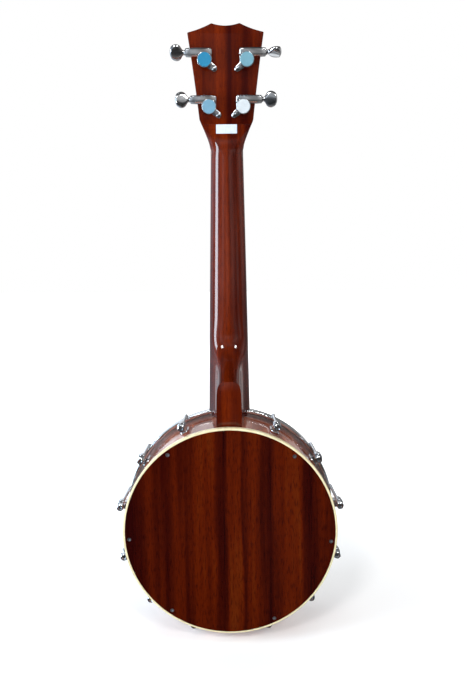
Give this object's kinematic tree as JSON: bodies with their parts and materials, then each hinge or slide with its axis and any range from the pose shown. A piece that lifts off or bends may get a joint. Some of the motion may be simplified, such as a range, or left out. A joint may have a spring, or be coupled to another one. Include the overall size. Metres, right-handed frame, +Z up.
{
  "type": "banjo",
  "caption": "Four-string banjo ukulele with a round closed-back pot, hooked tension hoop, carved fretted neck and geared tuners.",
  "frame": {"origin": "centre of the back plate's outer face, on the axis of the round pot", "axes": "+Z up along the neck to the headstock, +Y the way the back faces, so the drumhead faces -Y"},
  "size_m": [0.2216, 0.0789, 0.5873],
  "materials": {
    "maple_rim": "gloss lacquer over straight grain",
    "mahogany_back": "gloss lacquer over ribbon-striped mahogany",
    "mahogany_neck": "gloss lacquer",
    "mahogany_headstock": "gloss lacquer",
    "cream_binding": "cream, polished",
    "screw_steel": "darkened chrome",
    "drumhead": "coated white film",
    "flesh_hoop": "plain",
    "chrome_hoop": "polished",
    "chrome_hooks": "polished",
    "chrome_nuts": "polished",
    "chrome_shoes": "polished casting",
    "steel_bolts": "zinc plated",
    "steel_rod": "plain",
    "overlay": "dark veneer, gloss",
    "label": "blank white sticker",
    "rosewood": "oiled rosewood",
    "fret_wire": "polished nickel silver",
    "pearl_dots": "pearl",
    "bone_nut": "polished bone",
    "maple_bridge": "plain maple",
    "ebony_saddle": "ebony",
    "chrome_tailpiece": "polished",
    "chrome_tuner": "polished",
    "chrome_buttons": "polished",
    "chrome_posts": "polished",
    "worm_steel": "machined",
    "gear_brass": "machined",
    "bush_brass": "machined",
    "strings": "clear nylon"
  },
  "bodies": {
    "root": {"rim": "maple_rim", "back_plate": "mahogany_back", "back_binding": "cream_binding", "back_screws": "screw_steel", "drumhead": "drumhead", "flesh_hoop": "flesh_hoop", "tension_hoop": "chrome_hoop", "tension_hooks": "chrome_hooks", "hook_nuts": "chrome_nuts", "bracket_shoes": "chrome_shoes", "shoe_bolts": "steel_bolts", "coordinator_rod": "steel_rod", "hanger_bolts": "steel_bolts", "hanger_nuts": "steel_bolts", "neck": "mahogany_neck", "headstock": "mahogany_headstock", "headstock_overlay": "overlay", "headstock_label": "label", "fretboard": "rosewood", "frets": "fret_wire", "fret_markers": "pearl_dots", "nut": "bone_nut", "bridge": "maple_bridge", "bridge_saddle": "ebony_saddle", "tailpiece": "chrome_tailpiece", "tail_bolt": "steel_bolts", "tail_spacer": "steel_bolts", "tuner_caps": "chrome_tuner", "tuner_screws": "screw_steel", "tuner_washers": "chrome_tuner", "tuner_bushings": "chrome_tuner", "worm_bushes": "bush_brass", "tuner_housing_left_upper": "chrome_tuner", "tuner_housing_left_lower": "chrome_tuner", "tuner_housing_right_upper": "chrome_tuner", "tuner_housing_right_lower": "chrome_tuner", "string_1": "strings", "string_2": "strings", "string_3": "strings", "string_4": "strings"},
    "button_body_left_upper": {"button_left_upper": "chrome_buttons", "worm_shaft_left_upper": "worm_steel"},
    "post_body_left_upper": {"string_post_left_upper": "chrome_posts", "post_gear_left_upper": "gear_brass", "string_winding_left_upper": "strings"},
    "button_body_left_lower": {"button_left_lower": "chrome_buttons", "worm_shaft_left_lower": "worm_steel"},
    "post_body_left_lower": {"string_post_left_lower": "chrome_posts", "post_gear_left_lower": "gear_brass", "string_winding_left_lower": "strings"},
    "button_body_right_upper": {"button_right_upper": "chrome_buttons", "worm_shaft_right_upper": "worm_steel"},
    "post_body_right_upper": {"string_post_right_upper": "chrome_posts", "post_gear_right_upper": "gear_brass", "string_winding_right_upper": "strings"},
    "button_body_right_lower": {"button_right_lower": "chrome_buttons", "worm_shaft_right_lower": "worm_steel"},
    "post_body_right_lower": {"string_post_right_lower": "chrome_posts", "post_gear_right_lower": "gear_brass", "string_winding_right_lower": "strings"}
  },
  "joints": [
    {"name": "turn_button_left_upper", "type": "hinge", "parent": "root", "child": "button_body_left_upper", "pos_m": [-0.0315, -0.03838, 0.44646], "axis": [-1, 0, 0], "continuous": true},
    {"name": "turn_post_left_upper", "type": "hinge", "parent": "root", "child": "post_body_left_upper", "pos_m": [-0.0195, -0.04346, 0.44051], "axis": [0, 0.9903, -0.1392], "continuous": true},
    {"name": "turn_button_left_lower", "type": "hinge", "parent": "root", "child": "button_body_left_lower", "pos_m": [-0.0281, -0.04395, 0.40685], "axis": [-1, 0, 0], "continuous": true},
    {"name": "turn_post_left_lower", "type": "hinge", "parent": "root", "child": "post_body_left_lower", "pos_m": [-0.0161, -0.04903, 0.4009], "axis": [0, 0.9903, -0.1392], "continuous": true},
    {"name": "turn_button_right_upper", "type": "hinge", "parent": "root", "child": "button_body_right_upper", "pos_m": [0.0315, -0.03838, 0.44646], "axis": [1, 0, 0], "continuous": true},
    {"name": "turn_post_right_upper", "type": "hinge", "parent": "root", "child": "post_body_right_upper", "pos_m": [0.0195, -0.04346, 0.44051], "axis": [0, 0.9903, -0.1392], "continuous": true},
    {"name": "turn_button_right_lower", "type": "hinge", "parent": "root", "child": "button_body_right_lower", "pos_m": [0.0281, -0.04395, 0.40685], "axis": [1, 0, 0], "continuous": true},
    {"name": "turn_post_right_lower", "type": "hinge", "parent": "root", "child": "post_body_right_lower", "pos_m": [0.0161, -0.04903, 0.4009], "axis": [0, 0.9903, -0.1392], "continuous": true}
  ],
  "couplings": [
    {"joint": "turn_post_left_upper", "follows": "turn_button_left_upper", "ratio": 0.066667},
    {"joint": "turn_post_left_lower", "follows": "turn_button_left_lower", "ratio": 0.066667},
    {"joint": "turn_post_right_upper", "follows": "turn_button_right_upper", "ratio": 0.066667},
    {"joint": "turn_post_right_lower", "follows": "turn_button_right_lower", "ratio": 0.066667}
  ]
}
